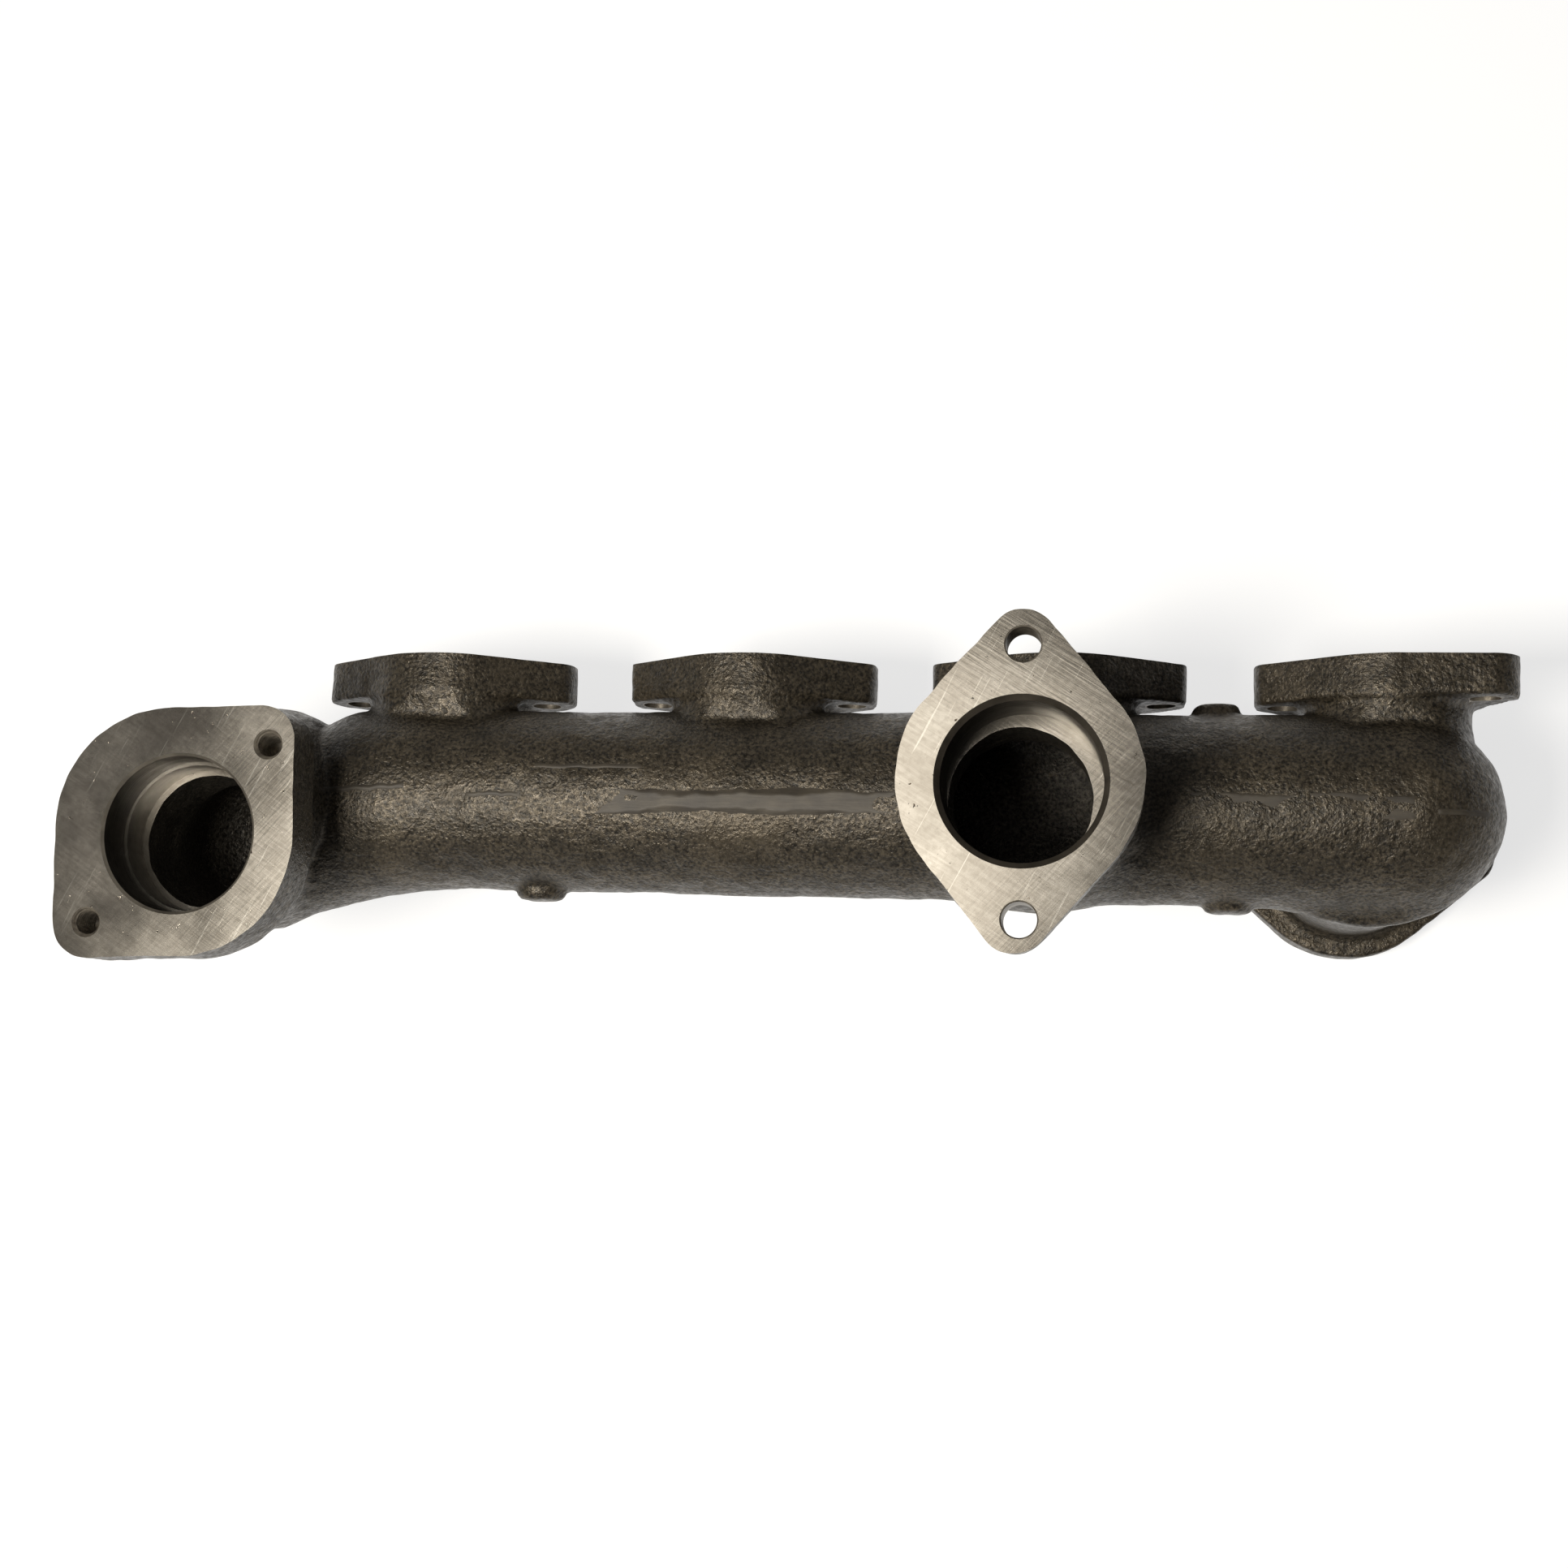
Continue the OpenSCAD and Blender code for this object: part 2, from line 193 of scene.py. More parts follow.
class Field:
    """A distance field on an even grid: negative inside the iron."""

    def __init__(self, low, high):
        counts = np.ceil((np.array(high) - low) / STEP).astype(int) + 1
        self.axes = [start + STEP * np.arange(count) for start, count in zip(low, counts)]
        self.value = np.full(counts, FAR, np.float32)

    def window(self, shape, grow):
        """The grid points around a shape, as slices and as coordinates."""
        slices = []
        for axis, low, high in zip(self.axes, shape.low - grow, shape.high + grow):
            first, last = np.searchsorted(axis, (low, high))
            slices.append(slice(first, last))
        x, y, z = (axis[part].astype(np.float32) for axis, part in zip(self.axes, slices))
        return tuple(slices), x[:, None, None], y[None, :, None], z[None, None, :]

    def add(self, shape, blend=0.0):
        part, x, y, z = self.window(shape, blend + MARGIN)
        self.value[part] = smooth_min(self.value[part], shape.distance(x, y, z), blend)

    def cut(self, shape, blend=0.0):
        part, x, y, z = self.window(shape, blend + MARGIN)
        self.value[part] = -smooth_min(-self.value[part], shape.distance(x, y, z), blend)

    def roughen(self, height, cell, random):
        """Adds smooth random lumps, one cell across."""
        lumps = random.standard_normal([int(n * STEP / cell) + 5 for n in self.value.shape])
        lumps = lumps.astype(np.float32)
        for axis, count in enumerate(self.value.shape):
            at = np.arange(count) * STEP / cell
            base = at.astype(int)
            t = (at - base).astype(np.float32)
            weights = [(1 - t) ** 3, 3 * t**3 - 6 * t**2 + 4, -3 * t**3 + 3 * t**2 + 3 * t + 1, t**3]
            shape = [1, 1, 1]
            shape[axis] = count
            lumps = sum(
                lumps.take(base + i, axis) * (weight / 6).reshape(shape)
                for i, weight in enumerate(weights)
            )
        self.value += lumps * (height * LUMP_GAIN)

    def mesh(self):
        """Corners, in millimetres, and four-sided faces of the surface."""
        grid = openvdb.FloatGrid(FAR)
        band = 3 * STEP
        grid.copyFromArray(np.clip(self.value, -band, band))
        corners, quads = grid.convertToQuads(0.0)
        corners = corners * STEP + [axis[0] for axis in self.axes]
        return corners, quads

    def normals(self, points):
        """Unit normals of the field at some points, in millimetres."""
        at = [np.clip((points[:, i] - axis[0]) / STEP, 1, len(axis) - 3) for i, axis in enumerate(self.axes)]
        base = [a.astype(int) for a in at]
        share = [a - b for a, b in zip(at, base)]
        slope = np.zeros((len(points), 3))
        for corner in np.ndindex(2, 2, 2):
            index = [b + c for b, c in zip(base, corner)]
            weight = np.prod([s if c else 1 - s for s, c in zip(share, corner)], axis=0)
            for axis in range(3):
                ahead, behind = list(index), list(index)
                ahead[axis] = index[axis] + 1
                behind[axis] = index[axis] - 1
                slope[:, axis] += weight * (self.value[tuple(ahead)] - self.value[tuple(behind)])
        return slope / np.maximum(np.linalg.norm(slope, axis=1, keepdims=True), 1e-9)


# A cubic B-spline flattens random heights by about this much
LUMP_GAIN = 2.6


# Shapes


def bar(start, end, radius, end_radius=None):
    """A round bar with domed ends, which may taper."""
    start, end = np.array(start, float), np.array(end, float)
    run = end - start
    growth = (end_radius or radius) - radius

    def distance(x, y, z):
        dx, dy, dz = x - start[X], y - start[Y], z - start[Z]
        along = np.clip((dx * run[X] + dy * run[Y] + dz * run[Z]) / run.dot(run), 0, 1)
        gap = (dx - along * run[X]) ** 2 + (dy - along * run[Y]) ** 2 + (dz - along * run[Z]) ** 2
        return np.sqrt(gap) - radius - along * growth

    reach = radius + max(growth, 0)
    return Shape(distance, np.minimum(start, end) - reach, np.maximum(start, end) + reach)


def prism(outline, reach, centre, axis, low, high, edge=0.0):
    """An outline drawn out along one axis from low to high, with its edges rounded."""
    flat = [i for i in (X, Y, Z) if i != axis]

    def distance(*point):
        u, v = (point[i] - centre[i] for i in flat)
        side = outline(u, v) + edge
        cap = np.abs(point[axis] - (low + high) / 2) - (high - low) / 2 + edge
        return np.minimum(np.maximum(side, cap), 0) + np.hypot(np.maximum(side, 0), np.maximum(cap, 0)) - edge

    corner_low, corner_high = np.array(centre, float) - reach, np.array(centre, float) + reach
    corner_low[axis], corner_high[axis] = low, high
    return Shape(distance, corner_low, corner_high)


def clipped(shape, axis, limit):
    """The part of a shape that lies below a limit along one axis."""

    def distance(*point):
        return np.maximum(shape.distance(*point), point[axis] - limit)

    high = shape.high.copy()
    high[axis] = limit
    return Shape(distance, shape.low, high)


def carved(shape, tool, blend):
    """A shape with a tool's shape taken out of it."""

    def distance(*point):
        return -smooth_min(-shape.distance(*point), tool.distance(*point), blend)

    return Shape(distance, shape.low, shape.high)


def disc(radius):
    """A round outline."""
    return lambda u, v: np.hypot(u, v) - radius


def two_ears(middle_r, ear_r, turns, reach):
    """A round middle with straight-sided ears that point along the turns, in radians."""
    lean = (middle_r - ear_r) / reach
    rise = math.sqrt(1 - lean * lean)

    def ear(u, v, turn):
        along = u * math.cos(turn) + v * math.sin(turn)
        across = np.abs(v * math.cos(turn) - u * math.sin(turn))
        run = along * rise - across * lean
        flank = along * lean + across * rise - middle_r
        flank = np.where(run < 0, np.hypot(along, across) - middle_r, flank)
        return np.where(run > rise * reach, np.hypot(along - reach, across) - ear_r, flank)

    return lambda u, v: np.minimum(*[ear(u, v, turn) for turn in turns])


def squared(outline, left, right):
    """An outline whose two ends are cut off square, with slightly rounded corners."""

    def distance(u, v):
        return -smooth_min(-outline(u, v), np.minimum(right - u, left + u), 2.5)

    return distance


def left_outline(u, v):
    """A square with two tight corners at its bolts and two wide ones between them."""
    a = u * math.cos(LEFT_TURN) + v * math.sin(LEFT_TURN)
    b = v * math.cos(LEFT_TURN) - u * math.sin(LEFT_TURN)
    radius = np.where(a * b > 0, LEFT_TIGHT_R, LEFT_WIDE_R)
    a, b = np.abs(a) - LEFT_HALF + radius, np.abs(b) - LEFT_HALF + radius
    return np.minimum(np.maximum(a, b), 0) + np.hypot(np.maximum(a, 0), np.maximum(b, 0)) - radius


# How much higher each boss was cast than it was drawn
BOSS_GROWTH = {"shield_boss_upper": 0, "shield_boss_lower_left": -1.6, "shield_boss_lower_right": -1.2}
BOSS_SLOPE = 0.2
# How far below its top a boss is as wide as its base radius
BOSS_SHOULDER = 5
BOSS_FILLET = 1.5


def shield_boss(name):
    """A low cone with a rounded top, on one side of the log."""
    low, high = node_box(name)
    x, z = (low[X] + high[X]) / 2, (low[Z] + high[Z]) / 2
    side = 1 if low[Y] > LOG_Y else -1
    top = (high[Y] if side > 0 else -low[Y]) + BOSS_GROWTH[name]
    base_r = (high[X] - low[X]) / 2

    def distance(px, py, pz):
        out = np.hypot(px - x, pz - z)
        height = side * py
        cone = (out - base_r - (top - BOSS_SHOULDER - height) * BOSS_SLOPE) * 0.92
        return -smooth_min(-cone, top - height, 3)

    bottom = LOG_Y + side * (LOG_R - 8)
    ends = sorted([bottom, side * top])
    reach = base_r + 5
    solid = Shape(distance, (x - reach, ends[0], z - reach), (x + reach, ends[1], z + reach))
    return clipped_to_box(solid)


def clipped_to_box(shape):
    """A shape that ends where its box does along Y."""

    def distance(x, y, z):
        cap = np.abs(y - (shape.low[Y] + shape.high[Y]) / 2) - (shape.high[Y] - shape.low[Y]) / 2 - 1
        return np.maximum(shape.distance(x, y, z), cap)

    return Shape(distance, shape.low, shape.high)


# The casting

NECK_FILLET = 2
RELIEF_FILLET = 3
# A hollow along the front of each neck's root: its place across the log, radius and half length
NECK_ROOT = (-28, 49.5)
NECK_ROOT_R = 19
NECK_ROOT_REACH = 60
OUTLET_FILLET = 13
FLANGE_FILLET = 5
PASSAGE_BLEND = 6
# The front outlet's sand core sat off its bore, so the step at the bore's foot is uneven
FRONT_CORE_SHIFT = (-1.8, -2.2, 0)
# Its flange was cast a little off its bore too
FRONT_SHIFT = (-1, 0.75, 0)
FRONT_TURN = math.radians(0.8)
BRANCH_SLOPE = math.radians(15)

# The elbow bends up from the log's end and leans towards the left outlet
BRANCH_FILLET = 8
ELBOW_FILLET = 2
ELBOW_R = 33
ELBOW_FOOT = LEFT * [1, 1, 0] + [6.5, 24, 20]
ELBOW_TOP = LEFT * [1, 1, 0] + [2, 9, 84]


def log_point(x):
    """A point on the log's axis."""
    return (x, LOG_Y, LOG_Z)


def branch_end():
    """Where the sloping branch meets the left outlet's axis."""
    return (LEFT[X], LOG_Y - (BRANCH_X - LEFT[X]) * math.tan(BRANCH_SLOPE), LOG_Z)


# How much fuller the log was cast at its left and right ends, and how far they are off along Y
LOG_GROWTH = (-0.9, 0.5)
LOG_SHIFT = (0.8, -0.3)
# How far the log runs on into the elbow
LOG_RUN_ON = 12


def add_log(field):
    """The tapering log, its sloping branch and the elbow that turns up to the left outlet."""
    left = np.add(log_point(LOG_LEFT_X - LOG_RUN_ON), (0, LOG_SHIFT[0], 0))
    right = np.add(log_point(LOG_RIGHT_X), (0, LOG_SHIFT[1], 0))
    field.add(bar(left, right, LOG_R + LOG_GROWTH[0], LOG_R + LOG_GROWTH[1]))
    field.add(bar(log_point(BRANCH_X), branch_end(), BRANCH_R - 1), BRANCH_FILLET)
    field.add(bar(ELBOW_FOOT, ELBOW_TOP, ELBOW_R), ELBOW_FILLET)


# How far each port flange reaches to its left and right of the bore
PORT_ENDS = ((50.5, 50.5), (48, 48), (48, 48), (49, 50.5))


def add_port(field, i):
    """A leaning neck with its spanner reliefs, and the flange that it ends in."""
    neck = bar((PORT_X[i], PORT_FLANGE_BACK, 0), log_point(PORT_X[i]), PORT_NECK_R[i])
    neck = clipped(neck, Y, PORT_FLANGE_BACK / 2)
    root = [np.array([PORT_X[i] + side * NECK_ROOT_REACH, *NECK_ROOT]) for side in (-1, 1)]
    neck = carved(neck, bar(*root, NECK_ROOT_R), 2)
    if i < 3:
        for side in (-1, 1):
            relief = prism(disc(SPANNER_R), SPANNER_R, (PORT_X[i] + side * PORT_REACH, 0, 0), Y, LOG_Y, 0)
            neck = carved(neck, relief, RELIEF_FILLET)
    field.add(neck, NECK_FILLET)
    turn = 0 if i < 3 else LAST_TURN
    outline = two_ears(PORT_FLANGE_R, PORT_EAR_R, (turn, math.pi), PORT_REACH)
    outline = squared(outline, *PORT_ENDS[i])
    reach = PORT_REACH + PORT_EAR_R
    centre = (PORT_X[i], 0, 0)
    field.add(prism(outline, reach, centre, Y, PORT_FLANGE_BACK, ALLOWANCE, 1.2), FLANGE_FILLET)


def add_outlet(field, face, neck_r, ears, facing, shift):
    """A round neck off the log and the two-eared flange, cast a little off its bore."""
    foot = (face[X], face[Y], LOG_Z)
    back = face[Z] - facing * OUTLET_T
    top = face[Z] + facing * ALLOWANCE
    neck = prism(disc(neck_r), neck_r, foot, Z, *sorted((LOG_Z, back + facing * 3)))
    field.add(neck, OUTLET_FILLET)
    outline = two_ears(OUTLET_R, OUTLET_EAR_R, ears, OUTLET_REACH)
    reach = OUTLET_REACH + OUTLET_EAR_R
    field.add(prism(outline, reach, face + shift, Z, *sorted((back, top)), 1.0), FLANGE_FILLET)


def add_left_outlet(field):
    """A round neck up from the elbow, and the square flange."""
    x, y = LEFT_PLATE[:Z]
    riser = bar((x, y, LOG_Z), (x, y, LEFT[Z]), LEFT_NECK_R - 1)
    field.add(clipped(riser, Z, LEFT[Z] - LEFT_T / 2), ELBOW_FILLET)
    back = LEFT[Z] - LEFT_T
    reach = LEFT_HALF * 1.1
    field.add(prism(left_outline, reach, LEFT_PLATE, Z, back, LEFT[Z] + ALLOWANCE, 1.5), FLANGE_FILLET)


# How far the sand cores stop short of the foot of a bore
CORE_GAP = 3
# The height and width of the casting's lumps
LUMPS = ((0.1, 2.6), (0.12, 6), (0.25, 22))


def cut_passages(field):
    """The gas passages, as the sand cores left them."""
    field.cut(bar(log_point(LOG_LEFT_X), log_point(LOG_RIGHT_X), LOG_R - WALL), PASSAGE_BLEND)
    field.cut(bar(log_point(BRANCH_X), branch_end(), BRANCH_R - WALL), PASSAGE_BLEND)
    for i in PORTS:
        passage = bar((PORT_X[i], PORT_FLANGE_BACK, 0), log_point(PORT_X[i]), PORT_R)
        field.cut(clipped(passage, Y, PORT_FLANGE_BACK + 4), PASSAGE_BLEND)
        mouth = (PORT_FLANGE_BACK, 3 * ALLOWANCE)
        field.cut(prism(disc(PORT_R), PORT_R, (PORT_X[i], 0, 0), Y, *mouth), 3)
    top = FRONT[Z] - OUTLET_BORE_DEPTH + CORE_GAP
    core_r = OUTLET_CAST_R - 0.7
    field.cut(prism(disc(core_r), core_r, FRONT + FRONT_CORE_SHIFT, Z, LOG_Z, top), PASSAGE_BLEND)
    bottom = REAR[Z] + OUTLET_BORE_DEPTH - CORE_GAP
    field.cut(prism(disc(OUTLET_CAST_R), OUTLET_CAST_R, REAR, Z, bottom, LOG_Z), PASSAGE_BLEND)
    riser = bar((LEFT[X], LEFT[Y], LOG_Z), (LEFT[X], LEFT[Y], LEFT[Z]), LEFT_CAST_R)
    field.cut(clipped(riser, Z, LEFT[Z] - LEFT_INNER_DEPTH + CORE_GAP), PASSAGE_BLEND)


def casting_field():
    """The whole rough casting, before it is machined."""
    random = np.random.default_rng(7)
    grow = ALLOWANCE + 3
    field = Field(CAD_LOW - grow, CAD_HIGH + grow)
    add_log(field)
    for i in PORTS:
        add_port(field, i)
    upright = math.pi / 2
    add_outlet(field, FRONT, FRONT_NECK_R, (upright - FRONT_TURN, -upright - FRONT_TURN), 1, FRONT_SHIFT)
    add_outlet(field, REAR, REAR_NECK_R, (0, math.pi), -1, (0, 0, 0))
    add_left_outlet(field)
    for name in BOSS_GROWTH:
        field.add(shield_boss(name), BOSS_FILLET)
    cut_passages(field)
    for height, cell in LUMPS:
        field.roughen(height, cell, random)
    return field


# Meshes


def mesh_object(name, corners, faces):
    """A mesh object from corners in millimetres."""
    mesh = bpy.data.meshes.new(name)
    corners = np.asarray(corners, np.float32) * MM
    faces = [np.asarray(face, np.int32) for face in faces] if isinstance(faces, list) else faces
    sizes = np.array([len(face) for face in faces], np.int32)
    mesh.vertices.add(len(corners))
    mesh.vertices.foreach_set("co", corners.ravel())
    mesh.loops.add(int(sizes.sum()))
    mesh.loops.foreach_set("vertex_index", np.concatenate(faces).astype(np.int32).ravel())
    mesh.polygons.add(len(sizes))
    mesh.polygons.foreach_set("loop_start", np.concatenate([[0], np.cumsum(sizes)[:-1]]).astype(np.int32))
    mesh.update(calc_edges=True)
    mesh.validate()
    thing = bpy.data.objects.new(name, mesh)
    bpy.context.scene.collection.objects.link(thing)
    return thing


def block(name, low, high):
    """A box, as a cutting tool."""
    corners = [[(low, high)[(i >> axis) & 1][axis] for axis in range(3)] for i in range(8)]
    faces = [[0, 2, 3, 1], [4, 5, 7, 6], [0, 1, 5, 4], [2, 6, 7, 3], [0, 4, 6, 2], [1, 3, 7, 5]]
    return mesh_object(name, corners, faces)


def turned(name, profile, centre, axis, facing=1, sides=128):
    """A solid turned round an axis; the profile is (radius, height) from the bottom up.

    A radius may also be an array that goes round the ring.
    """
    rings = len(profile)
    angle = np.arange(sides) * 2 * np.pi / sides
    flat = [i for i in (X, Y, Z) if i != axis]
    corners = np.zeros((rings * sides + 2, 3))
    for k, (radius, height) in enumerate(profile):
        ring = corners[k * sides : (k + 1) * sides]
        ring[:, flat[0]] = radius * np.cos(angle)
        ring[:, flat[1]] = radius * np.sin(angle)
        ring[:, axis] = facing * height
    corners[-2, axis], corners[-1, axis] = facing * profile[0][1], facing * profile[-1][1]
    corners += centre
    i = np.arange(sides)
    j = (i + 1) % sides
    faces = []
    for k in range(rings - 1):
        a, b = k * sides, (k + 1) * sides
        faces += [list(face) for face in zip(a + i, a + j, b + j, b + i)]
    faces += [[int(q), int(p), rings * sides] for p, q in zip(i, j)]
    last = (rings - 1) * sides
    faces += [[int(last + p), int(last + q), rings * sides + 1] for p, q in zip(i, j)]
    outward = facing * (-1 if axis == Y else 1)
    return mesh_object(name, corners, faces if outward > 0 else [face[::-1] for face in faces])


def combine(target, tool, operation):
    """Applies one exact boolean and deletes the tool."""
    boolean = target.modifiers.new("boolean", "BOOLEAN")
    boolean.operation = operation
    boolean.solver = "MANIFOLD"
    boolean.object = tool
    applied = bpy.data.meshes.new_from_object(target.evaluated_get(bpy.context.evaluated_depsgraph_get()))
    target.modifiers.clear()
    old, target.data = target.data, applied
    bpy.data.meshes.remove(old)
    bpy.data.objects.remove(tool)


# Machining

# How far the cutting tools reach past what they cut
OVER = 12


def machine_faces(casting):
    """Mills the port faces and the three outlet faces flat."""
    low, high = CAD_LOW - OVER, CAD_HIGH + OVER
    split = (LEFT[X] + FRONT[X]) / 2
    ports_top = PORT_FLANGE_R + OVER
    combine(casting, block("mill", (low[X], 0, low[Z]), (high[X], high[Y], ports_top)), "DIFFERENCE")
    combine(casting, block("mill", (split, low[Y], FRONT[Z]), high), "DIFFERENCE")
    combine(casting, block("mill", (low[X], low[Y], LEFT[Z]), (split, high[Y], high[Z])), "DIFFERENCE")
    combine(casting, block("mill", low, (high[X], high[Y], REAR[Z])), "DIFFERENCE")


def bore_profile(radius, depth, chamfer):
    """A bore's cutter, measured from the face that it goes into."""
    return [(radius, -depth), (radius, -chamfer), (radius + chamfer, 0), (radius + chamfer, OVER)]


def bore_outlets(casting):
    """Bores the three outlets and leaves a step above the cast passages."""
    for face, facing in ((FRONT, 1), (REAR, -1)):
        profile = bore_profile(OUTLET_BORE_R, OUTLET_BORE_DEPTH, CHAMFER)
        combine(casting, turned("bore", profile, face, Z, facing), "DIFFERENCE")
    profile = [(LEFT_INNER_R, -LEFT_INNER_DEPTH), (LEFT_INNER_R, -LEFT_BORE_DEPTH)]
    profile += bore_profile(LEFT_BORE_R, LEFT_BORE_DEPTH, CHAMFER / 2)
    combine(casting, turned("bore", profile, LEFT, Z), "DIFFERENCE")


def hole_list():
    """Each drilled hole: its place in the face, axis, facing, radius and depth."""
    holes = []
    for i in PORTS:
        for turn in (0 if i < 3 else LAST_TURN, math.pi):
            spot = (PORT_X[i] + PORT_REACH * math.cos(turn), 0, PORT_REACH * math.sin(turn))
            holes.append((spot, Y, 1, PORT_HOLE_R, -PORT_FLANGE_BACK + 3))
    for side in (-1, 1):
        holes.append((FRONT + [0, side * OUTLET_REACH, 0], Z, 1, OUTLET_HOLE_R, OUTLET_T + 5))
        holes.append((REAR + [side * OUTLET_REACH, 0, 0], Z, -1, OUTLET_HOLE_R, OUTLET_T + 5))
    for name in ("upper", "lower"):
        spot = place(f"left_outlet_thread_{name}") * [1, 1, 0] + [0, 0, LEFT[Z]]
        holes.append((spot, Z, 1, THREAD_R, THREAD_DEPTH))
    return holes


HOLE_SIDES = 64
DRILL_POINT = 3
THREAD_RINGS = 8


def tap_profile(depth, edge):
    """A tapped hole's cutter: a drill point, a helical thread and a broken edge."""
    angle = np.arange(HOLE_SIDES) / HOLE_SIDES
    profile = [(0.2, -depth - DRILL_POINT), (THREAD_CORE_R, -depth)]
    for height in np.arange(-depth + THREAD_PITCH, -2 * edge, THREAD_PITCH / THREAD_RINGS):
        crest = np.abs((height / THREAD_PITCH - angle) % 1 - 0.5) * 2
        profile.append((THREAD_CORE_R + (THREAD_R - THREAD_CORE_R) * crest, height))
    return profile + [(THREAD_R, -edge), (THREAD_R + edge, 0), (THREAD_R + edge, OVER)]


def drill_holes(casting):
    """Drills every bolt hole, breaks its edge and taps the two in the left flange."""
    edge = 0.5
    for spot, axis, facing, radius, depth in hole_list():
        tapped = radius == THREAD_R
        profile = tap_profile(depth, edge) if tapped else bore_profile(radius, depth, edge)
        combine(casting, turned("drill", profile, spot, axis, facing, HOLE_SIDES), "DIFFERENCE")


def machined_casting(field):
    """The casting as one mesh, with its faces milled and its bores and holes cut."""
    corners, quads = field.mesh()
    casting = mesh_object("casting", corners, quads)
    machine_faces(casting)
    bore_outlets(casting)
    drill_holes(casting)
    return casting


# Cutting the casting into one piece for each CAD node

# How far behind a flange its seam lies
SEAM = 1.5
# How far inside the log's skin the necks' seams lie, and the room for the fillets at a neck's sides
NECK_SINK = 8
FILLET_ROOM = 12
# A loose part with fewer corners than this is a speck
CRUMB = 250


def piece_boxes():
    """The box that each piece is cut out with, in the order that they are cut."""
    low, high = CAD_LOW - OVER, CAD_HIGH + OVER
    boxes = []
    half_pitch = (PORT_X[1] - PORT_X[0]) / 2
    flange_y = PORT_FLANGE_BACK - SEAM
    neck_y = LOG_Y + LOG_R - NECK_SINK
    top = PORT_FLANGE_R + OVER
    for i in PORTS:
        left, right = PORT_X[i] - half_pitch, PORT_X[i] + half_pitch
        boxes.append((f"port_flange_{i + 1}", (left, flange_y, low[Z]), (right, high[Y], top)))
        reach = PORT_NECK_R[i] + FILLET_ROOM
        left, right = PORT_X[i] - reach, PORT_X[i] + reach
        boxes.append((f"port_neck_{i + 1}", (left, neck_y, -top), (right, flange_y, top)))
    for name, face, thick, rise in (("front", FRONT, OUTLET_T, -6), ("left", LEFT, LEFT_T, 4)):
        left, right = face[X] - half_pitch, face[X] + half_pitch
        flange_z = face[Z] - thick - SEAM
        boxes.append((f"{name}_outlet_flange", (left, low[Y], flange_z), (right, high[Y], high[Z])))
        bottom = LOG_Z + LOG_R + rise
        boxes.append((f"{name}_outlet_neck", (left, low[Y], bottom), (right, high[Y], flange_z)))
    left, right = REAR[X] - half_pitch - 2, high[X]
    flange_z = REAR[Z] + OUTLET_T + SEAM
    boxes.append(("rear_outlet_flange", (left, low[Y], low[Z]), (right, high[Y], flange_z)))
    boxes.append(("rear_outlet_neck", (left, low[Y], flange_z), (right, high[Y], LOG_Z - LOG_R - 4)))
    for name in BOSS_GROWTH:
        boss_low, boss_high = node_box(name)
        boss_low, boss_high = boss_low - 4, boss_high + 4
        if boss_low[Y] > LOG_Y:
            boss_low[Y] = LOG_Y + LOG_R - 2
        else:
            boss_high[Y] = LOG_Y - LOG_R + 2
        boxes.append((name, boss_low, boss_high))
    ends = [low[X], *LOG_JOINTS]
    for name, left, right in zip(("left_elbow", "left_end", "log_left", "log_right"), ends, ends[1:]):
        boxes.append((name, (left, low[Y], low[Z]), (right, high[Y], high[Z])))
    return boxes


def cut_pieces(casting):
    """Cuts the casting into closed pieces, named after the CAD nodes that they stand for."""
    pieces = {}
    for name, box_low, box_high in piece_boxes():
        piece = casting.copy()
        piece.data = casting.data.copy()
        bpy.context.scene.collection.objects.link(piece)
        combine(piece, block("keep", box_low, box_high), "INTERSECT")
        combine(casting, block("drop", box_low, box_high), "DIFFERENCE")
        pieces[name] = piece
    pieces["right_end"] = casting
    for piece in pieces.values():
        drop_crumbs(piece.data)
    return pieces


def drop_crumbs(mesh):
    """Deletes the specks that are left where a cut grazes the surface."""
    edges = np.zeros(len(mesh.edges) * 2, np.int32)
    mesh.edges.foreach_get("vertices", edges)
    start, end = edges.reshape(-1, 2).T
    island = np.arange(len(mesh.vertices))
    while True:
        lowest = np.minimum(island[start], island[end])
        merged = island.copy()
        np.minimum.at(merged, start, lowest)
        np.minimum.at(merged, end, lowest)
        merged = merged[merged]
        if np.array_equal(merged, island):
            break
        island = merged
    crumbs = np.flatnonzero(np.bincount(island, minlength=len(island))[island] < CRUMB)
    edit = bmesh.new()
    edit.from_mesh(mesh)
    edit.verts.ensure_lookup_table()
    bmesh.ops.delete(edit, geom=[edit.verts[i] for i in crumbs], context="VERTS")
    edit.to_mesh(mesh)
    edit.free()


# Ground lands and flash lines that stand on the front of the casting

# A patch's grid step, how far its edges sink into the skin, and the highest that it may stand
PATCH_STEP = 0.55
PATCH_SINK = 0.7
PATCH_RISE = 1.5


def front_height(field, x, y):
    """How high the front of the log stands at some places, in millimetres."""
    at = [(value - axis[0]) / STEP for value, axis in ((x, field.axes[X]), (y, field.axes[Y]))]
    base = [a.astype(int) for a in at]
    share = [(a - b)[:, None] for a, b in zip(at, base)]
    heights = field.axes[Z]
    levels = (heights > LOG_Z - 5) & (heights < LOG_Z + LOG_R + 6)
    heights = heights[levels]
    column = 0
    for i, j in np.ndindex(2, 2):
        weight = (share[0] if i else 1 - share[0]) * (share[1] if j else 1 - share[1])
        column = column + weight * field.value[base[0] + i, base[1] + j][:, levels]
    last = len(heights) - 2 - np.argmax(column[:, -2::-1] < 0, axis=1)
    rows = np.arange(len(last))
    inside, outside = column[rows, last], column[rows, last + 1]
    return heights[last] + STEP * inside / np.minimum(inside - outside, -1e-6)


